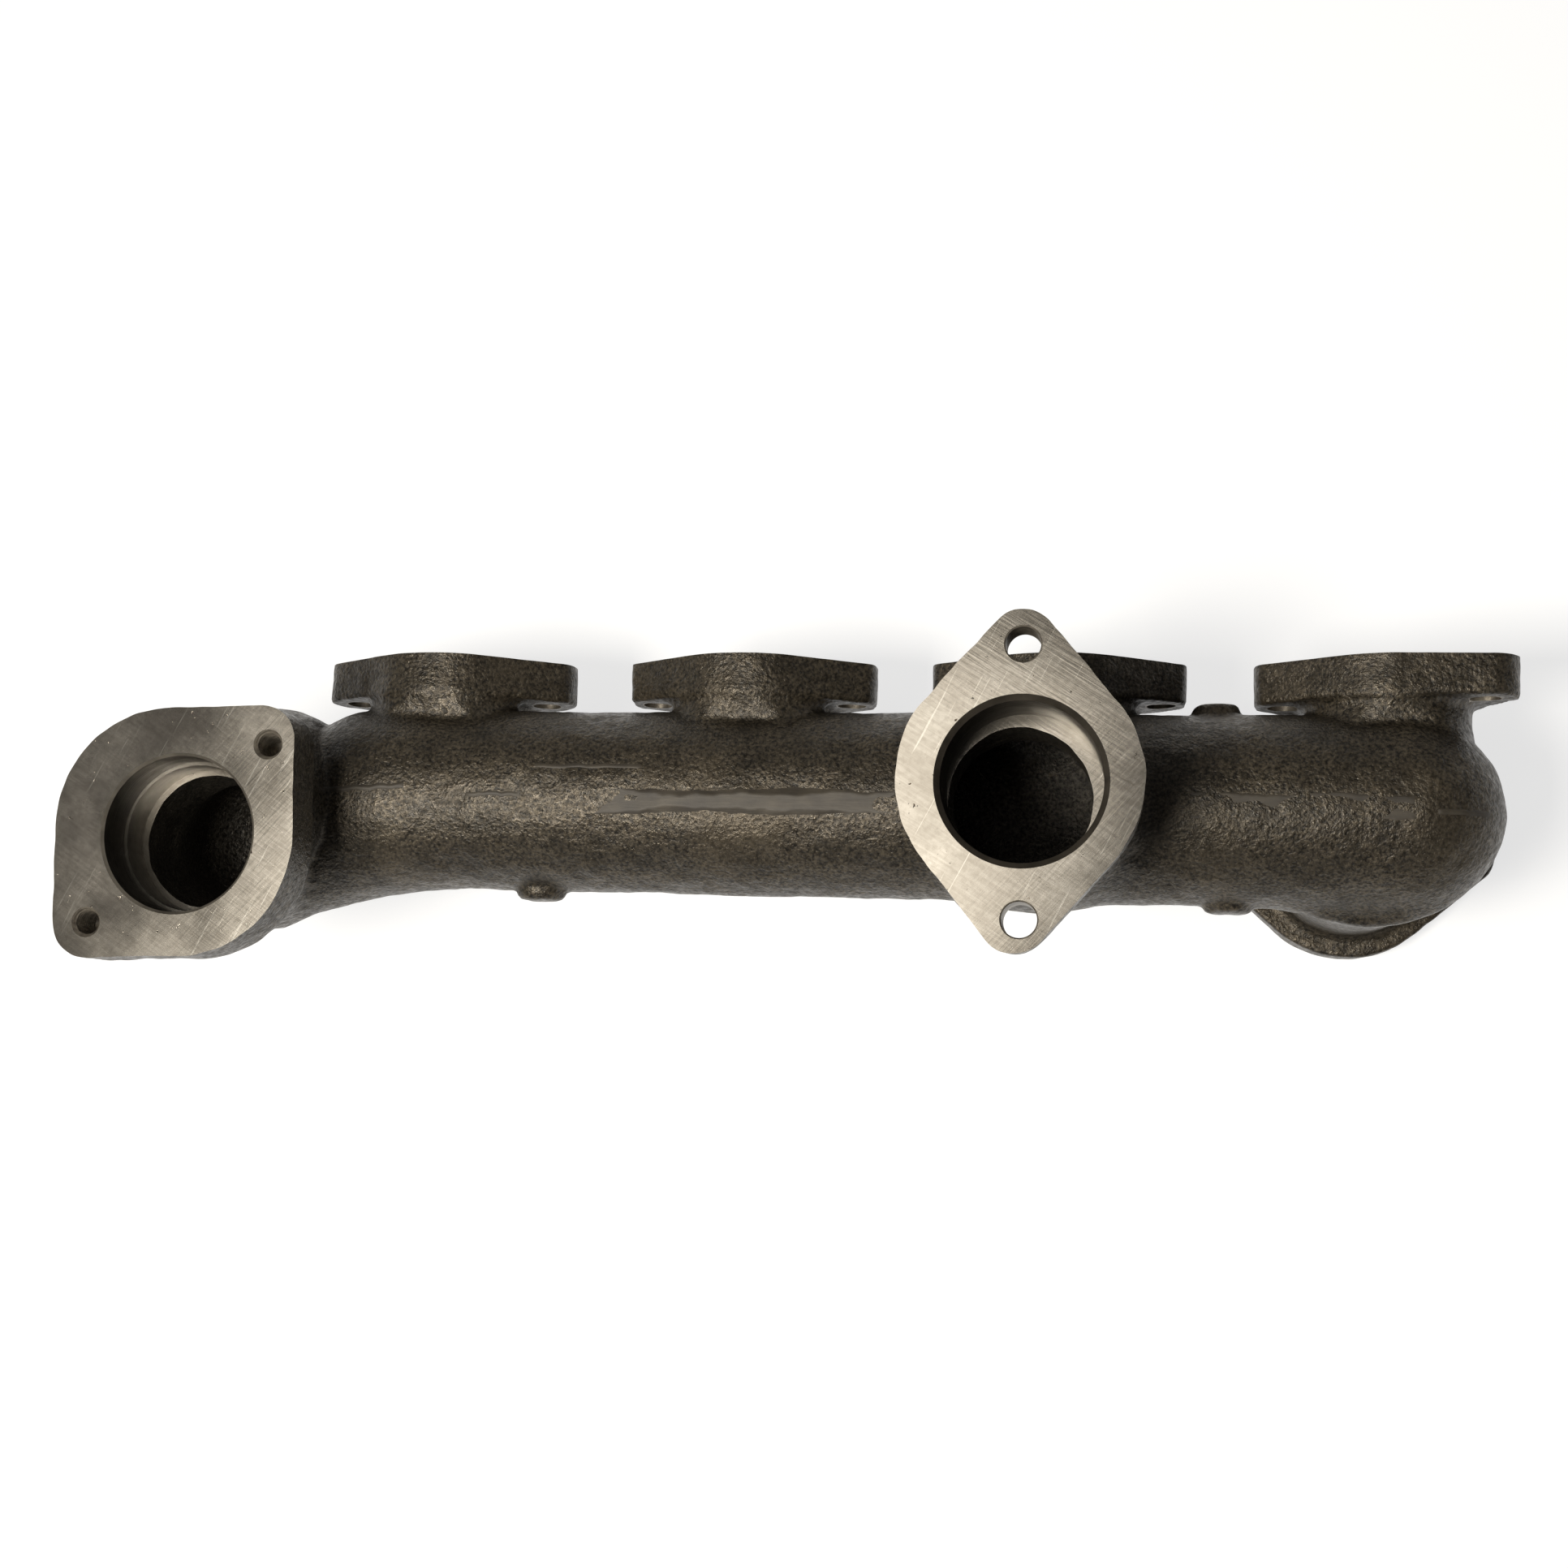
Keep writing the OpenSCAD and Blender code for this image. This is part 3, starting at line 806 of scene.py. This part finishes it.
def wander(count, random, reach, knots):
    """A smooth random line of some length that stays within reach."""
    places = np.linspace(0, knots, count)
    return reach * np.interp(places, np.arange(knots + 1), random.uniform(-1, 1, knots + 1))


def skin_patch(name, field, low, high, top):
    """A thin closed layer over part of the log's front; top gives its height over the skin."""
    xs = np.arange(low[X], high[X], PATCH_STEP)
    ys = np.arange(low[Y], high[Y], PATCH_STEP)
    x, y = (grid.ravel() for grid in np.meshgrid(xs, ys, indexing="ij"))
    skin = front_height(field, x, y)
    rise = np.clip(top(x, y, skin), -PATCH_SINK, PATCH_RISE)
    corners = np.concatenate([np.stack([x, y, skin + rise], 1), np.stack([x, y, skin - 2], 1)])
    rows, columns = len(xs), len(ys)
    index = np.arange(rows * columns).reshape(rows, columns)
    a, b, c, d = index[:-1, :-1], index[1:, :-1], index[1:, 1:], index[:-1, 1:]
    upper = np.stack([a, b, c, d], -1).reshape(-1, 4)
    lower = upper[:, ::-1] + rows * columns
    rim = np.concatenate([index[:, 0], index[-1, 1:], index[-2::-1, -1], index[0, -2:0:-1]])
    after = np.roll(rim, -1)
    wall = np.stack([rim + rows * columns, after + rows * columns, after, rim], -1)
    patch = mesh_object(name, corners, np.concatenate([upper, lower, wall]))
    patch.data.polygons.foreach_set("use_smooth", np.ones(len(patch.data.polygons), bool))
    patch.data.set_sharp_from_angle(angle=math.radians(50))
    return patch


# Where each parting land starts to sink under the skin, going left, and how fast it does
LAND_FADE = 40
LAND_STARTS = {"parting_land_left": -84, "parting_land_right": 108}


def ground_land(name, field, node, seed):
    """A parting land: ground almost flat, ragged at its edges and fading out at its left."""
    low, high = node_box(node)
    middle, half = (low[Y] + high[Y]) / 2, (high[Y] - low[Y]) / 2
    random = np.random.default_rng(seed)
    places = np.linspace(0, 1, 400)
    count = len(places)
    ragged = [wander(count, random, 0.35, 60) + wander(count, random, 0.9, 9) for _ in range(2)]
    worn = wander(count, random, 0.45, 14)

    def top(x, y, skin):
        along = (x - low[X]) / (high[X] - low[X])
        upper, lower = (np.interp(along, places, line) for line in ragged)
        plane = LOG_Z + math.sqrt(LOG_R**2 - (middle - LOG_Y) ** 2) + 0.3
        plane = plane - (y - middle) * (middle - LOG_Y) / LOG_R
        fade = np.clip((LAND_STARTS[node] - x) / LAND_FADE, 0, 1)
        plane = plane - fade * (2.6 + 2 * np.interp(along, places, worn))
        edge = np.minimum(middle + half + upper - y, y - middle + half + lower)
        edge = np.minimum(edge, np.minimum(x - low[X], high[X] - x) * 0.4)
        return np.minimum(plane - skin, edge * 0.35)

    return skin_patch(name, field, low[:Z] - 3, high[:Z] + 3, top)


def flash_line(name, field, start, end, width, height, seed):
    """A thin ragged fin where the mould's halves met."""
    length = np.linalg.norm(end - start)
    run = (end - start) / length
    random = np.random.default_rng(seed)
    places = np.linspace(0, 1, 200)
    bend = wander(len(places), random, 0.35, 12)

    def top(x, y, skin):
        along = (x - start[X]) * run[X] + (y - start[Y]) * run[Y]
        share = along / length
        across = (y - start[Y]) * run[X] - (x - start[X]) * run[Y]
        across = across - np.interp(share, places, bend)
        ends = np.minimum(share, 1 - share) * 12
        return height * np.minimum(1 - np.abs(across) / width, ends)

    low, high = np.minimum(start, end) - 2, np.maximum(start, end) + 2
    return skin_patch(name, field, low, high, top)


# Each flash line's ends, along the log and above its axis, then its width, height and seed
FLASH_LINES = (
    ("flash_line_elbow", (-216, 0), (-184, 1.9), 1.1, 0.5, 21),
    ("flash_line_left", (-160, -0.9), (-139, -0.7), 0.9, 0.35, 22),
    ("flash_line_upper", (-134, 10.2), (-93, 10.4), 0.8, 0.3, 23),
    ("flash_line_right", (193, -3.5), (212, -3.3), 1.0, 0.5, 24),
)


# Finish of each face

# The bore walls get a near-black, hardly reflecting copy of the bored material, which is painted shade; the
# last finish, the left bore's inner wall, gets a lighter copy, which is painted light
RAW, MILLED, BORED, DRILLED, INNER, PAINTED_LIGHT_BORE = range(6)
# Cast faces this close to a passage are its skin
PASSAGE_SKIN = 2.5
# How well two normals have to agree for a cast face, and for a machined one
CAST_AGREES = 0.55
TOOLED_AGREES = 0.995


def radial(points, centre, axis):
    """Distance of some points from an axis."""
    flat = [i for i in (X, Y, Z) if i != axis]
    return np.hypot(points[:, flat[0]] - centre[flat[0]], points[:, flat[1]] - centre[flat[1]])


def face_finish(centres, normals):
    """What made each face: the mould, a milling cutter, a boring bar or a drill."""
    finish = np.full(len(centres), RAW)
    x, y, z = centres.T
    near = 0.02
    milled = (np.abs(y) < near) & (normals[:, Y] > 0.9)
    milled |= (np.abs(z - FRONT[Z]) < near) & (normals[:, Z] > 0.9)
    milled |= (np.abs(z - LEFT[Z]) < near) & (normals[:, Z] > 0.9) & (x < BRANCH_X)
    milled |= (np.abs(z - REAR[Z]) < near) & (normals[:, Z] < -0.9)
    finish[milled] = MILLED
    bores = [(FRONT, 1, OUTLET_BORE_R, OUTLET_BORE_DEPTH), (REAR, -1, OUTLET_BORE_R, OUTLET_BORE_DEPTH)]
    bores += [(LEFT, 1, LEFT_BORE_R, LEFT_BORE_DEPTH), (LEFT, 1, LEFT_INNER_R, LEFT_INNER_DEPTH)]
    for face, facing, radius, depth in bores:
        out = radial(centres, face, Z)
        down = facing * (face[Z] - z)
        wall = (out < radius + CHAMFER) & (down > 0.01) & (down < CHAMFER)
        wall |= (np.abs(out - radius) < 0.08) & (down > 0) & (down < depth)
        # The left bore's inner wall takes the lighter copy of the bored material (painted light); the other
        # bore walls take the dark copy (painted shade)
        finish[wall] = PAINTED_LIGHT_BORE if radius == LEFT_INNER_R else BORED
        ledge = (out < radius + 0.1) & (np.abs(down - depth) < near) & (np.abs(normals[:, Z]) > 0.99)
        finish[ledge] = MILLED
    for spot, axis, facing, radius, depth in hole_list():
        out = radial(centres, spot, axis)
        down = facing * (spot[axis] - centres[:, axis])
        finish[(out < radius + 0.55) & (down > 0.01) & (down < depth + 4)] = DRILLED
    return finish


def passage_distance(points):
    """How far some points are outside the gas passages."""
    x, y, z = points.T
    inner = LOG_R - WALL
    shapes = [bar(log_point(LOG_LEFT_X), log_point(LOG_RIGHT_X), inner)]
    shapes.append(bar(log_point(BRANCH_X), branch_end(), BRANCH_R - WALL))
    shapes += [bar((px, 0, 0), log_point(px), PORT_R) for px in PORT_X]
    shapes.append(bar(log_point(FRONT[X]), FRONT, OUTLET_CAST_R))
    shapes.append(bar((REAR[X], REAR[Y], LOG_Z), REAR, OUTLET_CAST_R))
    shapes.append(bar((LEFT[X], LEFT[Y], LOG_Z), LEFT, LEFT_CAST_R))
    return np.min([shape.distance(x, y, z) for shape in shapes], axis=0)


def finish_piece(piece, field, materials):
    """Gives a piece its face materials and smooth normals that run on across the seams."""
    mesh = piece.data
    count, loops = len(mesh.polygons), len(mesh.loops)
    centres, normals = np.zeros(count * 3), np.zeros(count * 3)
    mesh.polygons.foreach_get("center", centres)
    mesh.polygons.foreach_get("normal", normals)
    centres, normals = centres.reshape(-1, 3) / MM, normals.reshape(-1, 3)
    finish = face_finish(centres, normals)
    raw = finish == RAW
    finish[raw] = np.where(passage_distance(centres[raw]) < PASSAGE_SKIN, INNER, RAW)
    mesh.materials.clear()
    for material in materials:
        mesh.materials.append(material)
    mesh.polygons.foreach_set("material_index", finish.astype(np.int32))
    mesh.polygons.foreach_set("use_smooth", np.ones(count, bool))
    corners = np.zeros(len(mesh.vertices) * 3)
    mesh.vertices.foreach_get("co", corners)
    corners = corners.reshape(-1, 3) / MM
    mesh.set_sharp_from_angle(angle=math.radians(30))
    shading = np.zeros(loops * 3)
    mesh.corner_normals.foreach_get("vector", shading)
    shading = shading.reshape(-1, 3)
    vertex, totals = np.zeros(loops, np.int32), np.zeros(count, np.int32)
    mesh.loops.foreach_get("vertex_index", vertex)
    mesh.polygons.foreach_get("loop_total", totals)
    cast = np.repeat((finish == RAW) | (finish == INNER), totals)
    smooth = field.normals(corners)[vertex]
    flat = np.repeat(normals, totals, axis=0)
    agrees = np.sum(smooth * flat, axis=1) > CAST_AGREES
    shading[cast & agrees] = smooth[cast & agrees]
    tooled = ~cast & (np.sum(shading * flat, axis=1) < TOOLED_AGREES)
    shading[tooled] = flat[tooled]
    milled = np.repeat(finish == MILLED, totals)
    shading[milled] = flat[milled]
    mesh.normals_split_custom_set(shading)
    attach(piece, "root")


# Materials


class Surface:
    """A procedural material, built around its shader."""

    def __init__(self, name):
        self.material = bpy.data.materials.new(name)
        self.material.use_nodes = True
        self.nodes, self.links = self.material.node_tree.nodes, self.material.node_tree.links
        self.shader = self.nodes["Principled BSDF"]
        self.where = self.nodes.new("ShaderNodeTexCoord").outputs["Object"]

    def set(self, key, value):
        """Gives one of the shader's inputs a number, a colour or another node's output."""
        if isinstance(value, bpy.types.NodeSocket):
            self.links.new(value, self.shader.inputs[key])
        else:
            self.shader.inputs[key].default_value = value

    def noise(self, size_mm, detail=3.0, roughness=0.55, where=None):
        """Noise with features about size_mm across."""
        node = self.nodes.new("ShaderNodeTexNoise")
        node.inputs["Scale"].default_value = 1 / (size_mm * MM * 1.6)
        node.inputs["Detail"].default_value = detail
        node.inputs["Roughness"].default_value = roughness
        self.links.new(self.where if where is None else where, node.inputs["Vector"])
        return node.outputs["Fac"]

    def streaks(self, size_mm, squeeze, turn=0.0, detail=2.0):
        """Noise drawn out along turned axes; squeeze is its width over its length on each."""
        node = self.nodes.new("ShaderNodeMapping")
        node.vector_type = "TEXTURE"
        node.inputs["Rotation"].default_value = (0, 0, math.radians(turn))
        node.inputs["Scale"].default_value = [1 / share for share in squeeze]
        self.links.new(self.where, node.inputs["Vector"])
        return self.noise(size_mm, detail, where=node.outputs["Vector"])

    def ramp(self, value, start, end):
        """Goes from one colour or grey to another; each end is a value and what it turns into."""
        node = self.nodes.new("ShaderNodeValToRGB")
        for element, (position, colour) in zip(node.color_ramp.elements, (start, end)):
            element.position = position
            element.color = (*colour, 1) if isinstance(colour, tuple) else (colour, colour, colour, 1)
        self.links.new(value, node.inputs["Fac"])
        return node.outputs["Color"]

    def stain(self, under, colour, share):
        """Covers what is under it with a colour; a share of 1 hides it."""
        node = self.nodes.new("ShaderNodeMix")
        node.data_type = "RGBA"
        self.links.new(share, node.inputs[0])
        self.links.new(under, node.inputs[6])
        node.inputs[7].default_value = (*colour, 1)
        return node.outputs[2]

    def bump(self, height, depth_mm, strength=1.0, below=None):
        """Bumps of a real depth, on top of other bumps if given."""
        node = self.nodes.new("ShaderNodeBump")
        node.inputs["Distance"].default_value = depth_mm * MM
        node.inputs["Strength"].default_value = strength
        self.links.new(height, node.inputs["Height"])
        if below is not None:
            self.links.new(below, node.inputs["Normal"])
        return node.outputs["Normal"]


def cast_material(name, dark, light, depth):
    """Sand-cast skin: dark and grainy, with small facets that catch the light."""
    skin = Surface(name)
    broad = skin.noise(26, 2)
    grain = skin.noise(0.8, 3, 0.6)
    lumps = skin.noise(1.3, 2, 0.5)
    patch = skin.noise(8, 3)
    brown = (light[0] * 0.95, light[1] * 0.92, light[2] * 0.86)
    colour = skin.ramp(grain, (0.36, dark), (0.64, light))
    colour = skin.stain(colour, dark, skin.ramp(patch, (0.35, 0.0), (0.7, 0.55)))
    colour = skin.stain(colour, brown, skin.ramp(broad, (0.5, 0.0), (0.75, 0.35)))
    skin.set("Base Color", colour)
    skin.set("Metallic", 0.5)
    skin.set("Roughness", skin.ramp(lumps, (0.35, 0.52), (0.65, 0.30)))
    skin.set("Normal", skin.bump(lumps, 1.4 * depth, 0.55, skin.bump(grain, depth)))
    return skin.material


def ground_material():
    """Ground skin: smoother than the casting, with faint streaks along it."""
    skin = Surface("ground_skin")
    along = skin.streaks(0.9, (0.12, 1, 1), detail=3)
    cloud = skin.noise(6, 4)
    colour = skin.ramp(cloud, (0.3, (0.024, 0.019, 0.0135)), (0.7, (0.056, 0.046, 0.032)))
    colour = skin.stain(colour, (0.02, 0.016, 0.012), skin.ramp(along, (0.4, 0.4), (0.6, 0.0)))
    skin.set("Base Color", colour)
    skin.set("Metallic", 0.15)
    skin.set("Roughness", 0.58)
    skin.set("Normal", skin.bump(cloud, 0.3, 0.5, skin.bump(along, 0.12, 0.8)))
    return skin.material


def milled_material():
    """Milled iron: warm grey with fine crossing tool marks, scratches and small rust pits."""
    skin = Surface("milled_iron")
    tool = skin.streaks(0.6, (0.06, 1, 1), -32)
    cross = skin.streaks(0.7, (0.05, 1, 1), 48)
    scratch = skin.streaks(0.8, (0.03, 1, 1), 63)
    cloud = skin.noise(14, 5, 0.6)
    fine = skin.noise(1.4, 3)
    rust = skin.ramp(skin.noise(2.0, 5, 0.68), (0.675, 0.0), (0.71, 1.0))
    dull = (0.22, 0.19, 0.15)
    colour = skin.ramp(cloud, (0.3, (0.40, 0.365, 0.31)), (0.7, (0.54, 0.50, 0.435)))
    colour = skin.stain(colour, dull, skin.ramp(fine, (0.38, 0.22), (0.56, 0.0)))
    colour = skin.stain(colour, dull, skin.ramp(tool, (0.4, 0.22), (0.6, 0.0)))
    colour = skin.stain(colour, (0.70, 0.66, 0.58), skin.ramp(scratch, (0.66, 0.0), (0.70, 0.6)))
    colour = skin.stain(colour, (0.10, 0.055, 0.03), rust)
    skin.set("Base Color", colour)
    skin.set("Metallic", 0.97)
    skin.set("Roughness", skin.ramp(cloud, (0.35, 0.14), (0.65, 0.19)))
    grooves = skin.bump(cross, 0.02, 0.6, skin.bump(tool, 0.03, 0.6))
    skin.set("Normal", skin.bump(rust, -0.25, 1.0, grooves))
    return skin.material


def bored_material(name, dark, light, metallic):
    """Bored wall, with rings down the bore; it hardly reflects, and its base colours paint the shade or light
    that falls in the bore.
    """
    skin = Surface(name)
    rings = skin.streaks(0.5, (0.02, 0.02, 1), detail=3)
    skin.set("Base Color", skin.ramp(skin.noise(6, 4), (0.3, dark), (0.7, light)))
    skin.set("Metallic", metallic)
    skin.set("Specular IOR Level", 0.06)
    skin.set("Roughness", skin.ramp(rings, (0.3, 0.40), (0.7, 0.60)))
    skin.set("Normal", skin.bump(rings, 0.08, 0.8))
    return skin.material


def drilled_material():
    """Drilled wall: dark, with a slight shine."""
    skin = Surface("drilled_iron")
    colour = skin.ramp(skin.noise(2, 4), (0.3, (0.10, 0.085, 0.07)), (0.7, (0.30, 0.27, 0.22)))
    skin.set("Base Color", colour)
    skin.set("Metallic", 0.7)
    skin.set("Roughness", 0.45)
    skin.set("Normal", skin.bump(skin.noise(0.6), 0.08))
    return skin.material


def face_materials():
    """One material for each finish, in the order of their numbers."""
    return [
        cast_material("cast_iron_skin", (0.012, 0.010, 0.007), (0.092, 0.075, 0.052), 0.45),
        milled_material(),
        # Near-black, hardly reflecting bored walls: painted shade in the outlet bores
        bored_material("bore_wall_painted_shade", (0.016, 0.014, 0.011), (0.042, 0.036, 0.029), 0.0),
        drilled_material(),
        cast_material("passage_skin", (0.010, 0.009, 0.0075), (0.09, 0.08, 0.065), 0.9),
        # A lighter copy of the bored wall: painted light on the left bore's inner wall
        bored_material("bore_wall_painted_light", (0.07, 0.062, 0.052), (0.16, 0.145, 0.12), 0.5),
    ]


# The stage


def make_floor():
    """A plain pale floor under the lowest point of the part."""
    reach = 30000
    low = CAD_LOW[Z] - 0.5
    corners = [(-reach, -reach, low), (reach, -reach, low), (reach, reach, low), (-reach, reach, low)]
    floor = mesh_object("floor", corners, [[0, 1, 2, 3]])
    pale = Surface("pale_floor")
    pale.set("Base Color", (0.35, 0.35, 0.35, 1))
    pale.set("Roughness", 0.9)
    pale.set("Emission Color", (1, 1, 1, 1))
    pale.set("Emission Strength", 0.72)
    floor.data.materials.append(pale.material)


def strip_light(name, location, target, width, depth, power, colour, turn=0.0):
    """A soft rectangular light that points at a target; its width is turned away from X."""
    data = bpy.data.lights.new(name, "AREA")
    data.shape = "RECTANGLE"
    data.size = width
    data.size_y = depth
    data.energy = power
    data.color = colour
    back = (Vector(location) - Vector(target)).normalized()
    across = (Vector((1, 0, 0)) - back * back.x).normalized()
    across.rotate(Quaternion(back, math.radians(turn)))
    light = bpy.data.objects.new(name, data)
    light.matrix_world = Matrix((across, back.cross(across), back)).transposed().to_4x4()
    light.location = location
    bpy.context.scene.collection.objects.link(light)


LIGHT_HEIGHT = 1.08


def make_lights():
    """A key light on the casting, and a dim panel that the milled faces mirror."""
    key_at, panel_at = (-0.34, -0.29, LIGHT_HEIGHT), (-0.29, 0.03, LIGHT_HEIGHT)
    middle, below_panel = (cad_low + cad_high) / 2, (-0.29, 0.03, 0)
    strip_light("key", key_at, middle, 0.40, 0.24, 16, (1.0, 0.95, 0.86))
    strip_light("panel", panel_at, below_panel, 0.60, 0.44, 1.5, (1.0, 0.96, 0.89), -20)
    world = bpy.data.worlds.new("studio")
    world.use_nodes = True
    background = world.node_tree.nodes["Background"]
    background.inputs["Color"].default_value = (1, 1, 1, 1)
    background.inputs["Strength"].default_value = 0.10
    bpy.context.scene.world = world
    bpy.context.scene.view_settings.view_transform = "Standard"


def make_camera():
    """Looks down at the front of the log, a little from the right and from below the outlets."""
    pitch, yaw, roll = (math.radians(angle) for angle in (7.13, 9.15, 1.70))
    data = bpy.data.cameras.new("camera")
    data.sensor_width = 36
    data.lens = 50.3
    camera = bpy.data.objects.new("camera", data)
    camera.rotation_mode = "ZXY"
    camera.rotation_euler = Euler((pitch, yaw, roll), "ZXY")
    camera.location = (0.0878, -0.1513, 0.8342)
    bpy.context.scene.collection.objects.link(camera)
    bpy.context.scene.camera = camera


# The pieces


def add_casting_pieces(field):
    """Makes the casting's pieces, each in place of its CAD node."""
    materials = face_materials()
    for node, piece in cut_pieces(machined_casting(field)).items():
        finish_piece(piece, field, materials)
        piece.name = f"{node}_iron"
        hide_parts(node)


def finish_patch(patch, material):
    """Gives a patch its slot, its material and the body that it rides on."""
    patch.data.materials.append(material)
    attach(patch, "root")


def add_patches(field):
    """Lays the parting lands and the flash lines on the front of the log."""
    material = ground_material()
    for node, seed in (("parting_land_left", 11), ("parting_land_right", 12)):
        land = ground_land(f"{node}_iron", field, node, seed)
        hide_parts(node)
        finish_patch(land, material)
    for name, start, end, width, height, seed in FLASH_LINES:
        ends = [np.array([along, LOG_Y + up]) for along, up in (start, end)]
        finish_patch(flash_line(name, field, *ends, width, height, seed), material)


make_camera()
make_floor()
make_lights()
rough_casting = casting_field()
add_casting_pieces(rough_casting)
add_patches(rough_casting)
